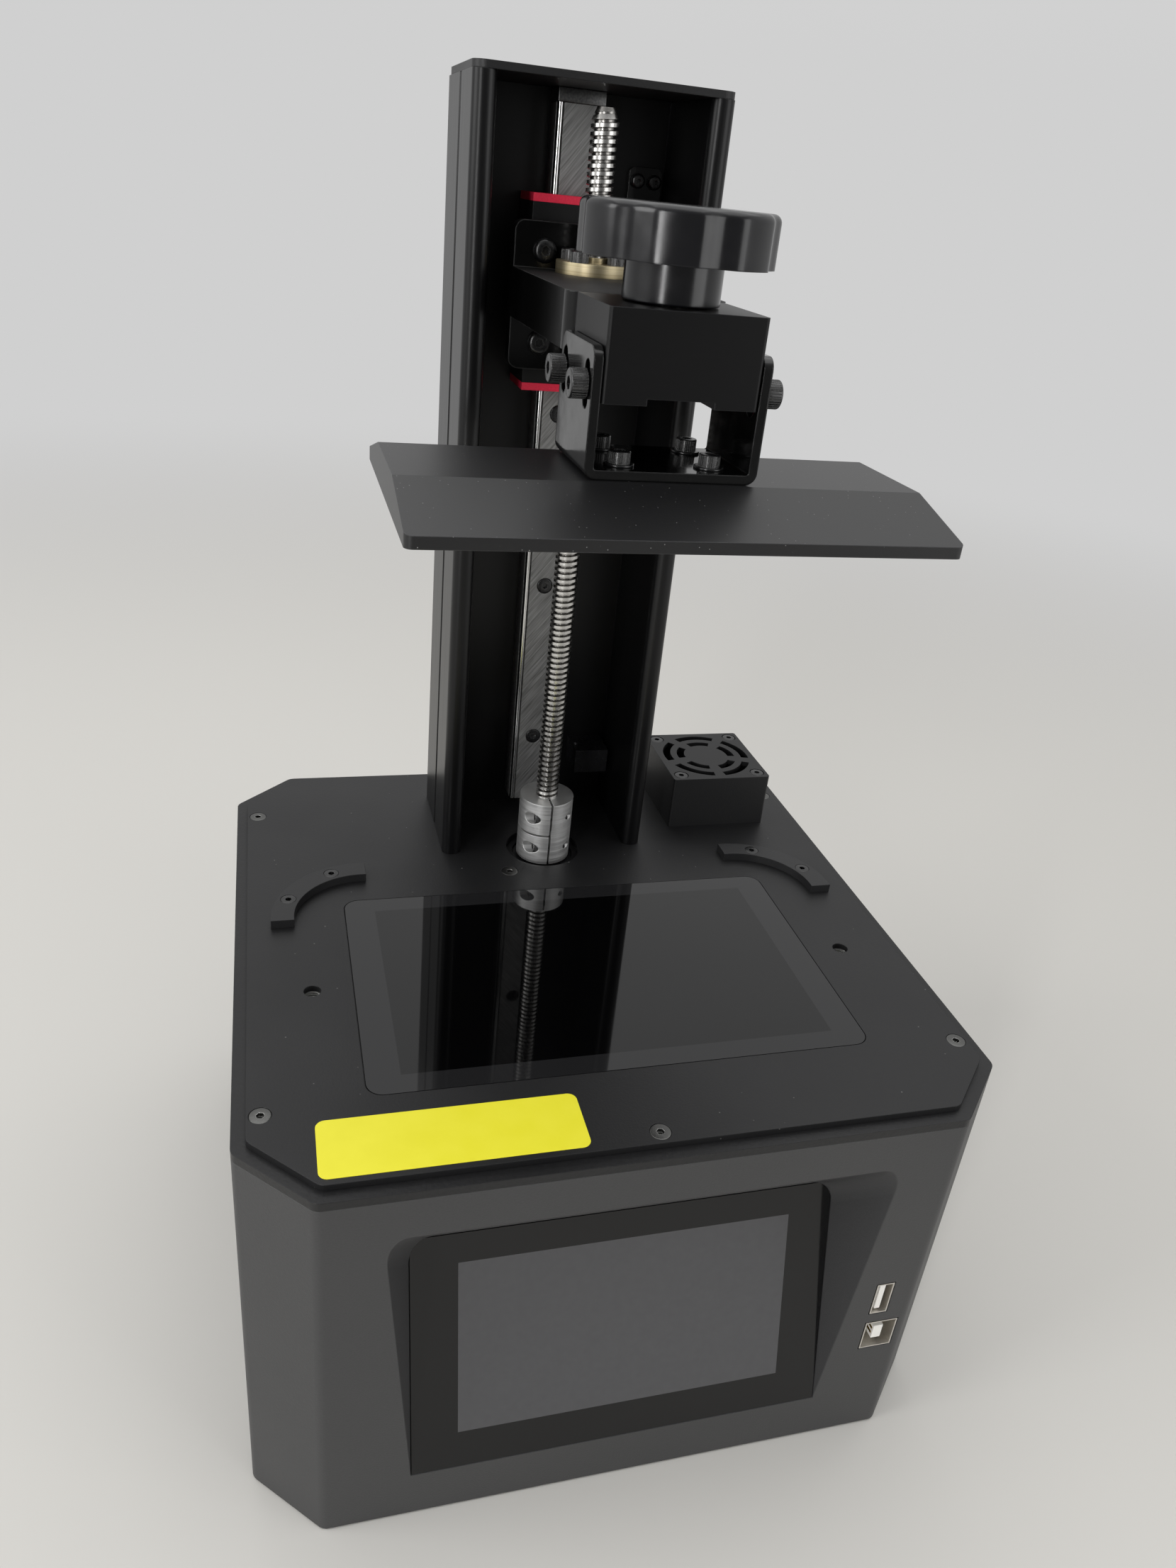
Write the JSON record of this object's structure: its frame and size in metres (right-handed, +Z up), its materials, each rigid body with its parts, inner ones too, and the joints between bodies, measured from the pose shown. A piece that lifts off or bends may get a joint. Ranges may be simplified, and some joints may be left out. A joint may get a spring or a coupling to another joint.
{
  "type": "resin printer",
  "caption": "Desktop masked-LCD resin printer: moulded base with sloped touch screen, channel column, rail and lead-screw lift, and a clamp-on levelling build plate.",
  "frame": {"origin": "on the table under the middle of the base, at the height of the rubber feet's undersides", "axes": "+X to the right seen from the touch screen, +Y from the touch screen to the column, +Z up"},
  "size_m": [0.221, 0.221, 0.387],
  "materials": {
    "housing_plastic": "moulded, fine matt texture",
    "black_plastic": "moulded, satin",
    "knob_plastic": "moulded, polished",
    "powder_coat": "powder coated, satin black",
    "black_anodised": "extruded, anodised black",
    "gloss_enamel": "enamelled, gloss black",
    "rail_steel": "ground, with slanting grind marks",
    "rod_steel": "hardened and polished",
    "slider_black": "anodised black, satin",
    "red_seal": "moulded",
    "coupling_aluminium": "turned, bead blasted",
    "screw_steel": "rolled thread, polished",
    "nut_brass": "turned",
    "black_steel": "black oxide",
    "stainless": "plain stainless",
    "screen_glass": "polished, dark behind",
    "display_black": "dark when off",
    "circuit_board": "solder mask",
    "port_steel": "nickel plated",
    "sheet_steel": "zinc plated sheet",
    "reflector_film": "mirror film",
    "motor_steel": "laminated, black",
    "carbon_foam": "open foam with carbon",
    "foot_rubber": "moulded"
  },
  "bodies": {
    "base": {"housing": "housing_plastic", "filter_box": "black_plastic", "base_fan_frame": "black_plastic", "filter_fan_frame": "black_plastic", "switch_frame": "black_plastic", "power_inlet": "black_plastic", "limit_sensor": "black_plastic", "vat_guide_left": "black_plastic", "vat_guide_right": "black_plastic", "deck_plate": "powder_coat", "top_plate": "powder_coat", "bottom_cover": "powder_coat", "column": "black_anodised", "column_cap": "gloss_enamel", "web_plate": "gloss_enamel", "linear_rail": "rail_steel", "rail_rods": "rod_steel", "heat_sink": "coupling_aluminium", "vat_inserts": "nut_brass", "rail_screws": "black_steel", "vat_guide_screws": "black_steel", "filter_screws": "black_steel", "web_plate_screws": "black_steel", "motor_screws": "black_steel", "column_screws": "black_steel", "cover_screws": "black_steel", "top_plate_screws": "stainless", "masking_lcd": "screen_glass", "touch_screen": "screen_glass", "display_module": "display_black", "main_board": "circuit_board", "lamp_board": "circuit_board", "usb_a_port": "port_steel", "usb_b_port": "port_steel", "board_bracket": "sheet_steel", "lamp_reflector": "reflector_film", "z_motor": "motor_steel", "carbon_pad": "carbon_foam", "rubber_feet": "foot_rubber"},
    "drive": {"lead_screw": "screw_steel", "shaft_coupling": "coupling_aluminium", "coupling_screws": "black_steel", "motor_shaft": "screw_steel"},
    "carriage": {"slider_block": "slider_black", "slider_seals": "red_seal", "carriage_arm": "gloss_enamel", "arm_screws": "black_steel", "lead_nut": "nut_brass", "nut_screws": "black_steel", "sensor_flag": "sheet_steel"},
    "head": {"clamp_block": "black_anodised", "levelling_screws": "black_steel"},
    "stud": {"clamp_stud": "screw_steel"},
    "knob": {"clamp_knob": "knob_plastic"},
    "yoke": {"plate_yoke": "gloss_enamel", "yoke_screws": "black_steel", "build_plate": "black_anodised"},
    "base_fan": {"base_fan_rotor": "black_plastic"},
    "filter_fan": {"filter_fan_rotor": "black_plastic"},
    "rocker": {"power_rocker": "black_plastic"}
  },
  "joints": [
    {"name": "lead_screw_turn", "type": "hinge", "parent": "base", "child": "drive", "pos_m": [0, 0.045, 0.25], "axis": [0, 0, 1], "range_deg": [-2521, 26281]},
    {"name": "carriage_lift", "type": "slide", "parent": "base", "child": "carriage", "axis": [0, 0, 1], "range_m": [-0.146, 0.014]},
    {"name": "platform_release", "type": "slide", "parent": "carriage", "child": "head", "axis": [0, -1, 0], "range_m": [0, 0.04]},
    {"name": "knob_turn", "type": "hinge", "parent": "stud", "child": "knob", "pos_m": [0, -0.0306, 0.35], "axis": [0, 0, 1], "range_deg": [0, 721]},
    {"name": "stud_lift", "type": "slide", "parent": "head", "child": "stud", "axis": [0, 0, 1], "range_m": [0, 0.0025]},
    {"name": "levelling", "type": "slide", "parent": "head", "child": "yoke", "axis": [0, 0, 1], "range_m": [-0.0025, 0.0025]},
    {"name": "base_fan_spin", "type": "hinge", "parent": "base", "child": "base_fan", "pos_m": [-0.046, 0.1005, 0.06], "axis": [0, 1, 0], "continuous": true},
    {"name": "filter_fan_spin", "type": "hinge", "parent": "base", "child": "filter_fan", "pos_m": [0.0734, 0.0748, 0.1285], "axis": [0, 0, 1], "continuous": true},
    {"name": "power_rocker_tilt", "type": "hinge", "parent": "base", "child": "rocker", "pos_m": [0.07, 0.1045, 0.034], "axis": [1, 0, 0], "range_deg": [-10, 10]}
  ],
  "couplings": [
    {"joint": "lead_screw_turn", "follows": "carriage_lift", "rad_per_m": -3141.6},
    {"joint": "knob_turn", "follows": "stud_lift", "rad_per_m": 5026.5}
  ]
}
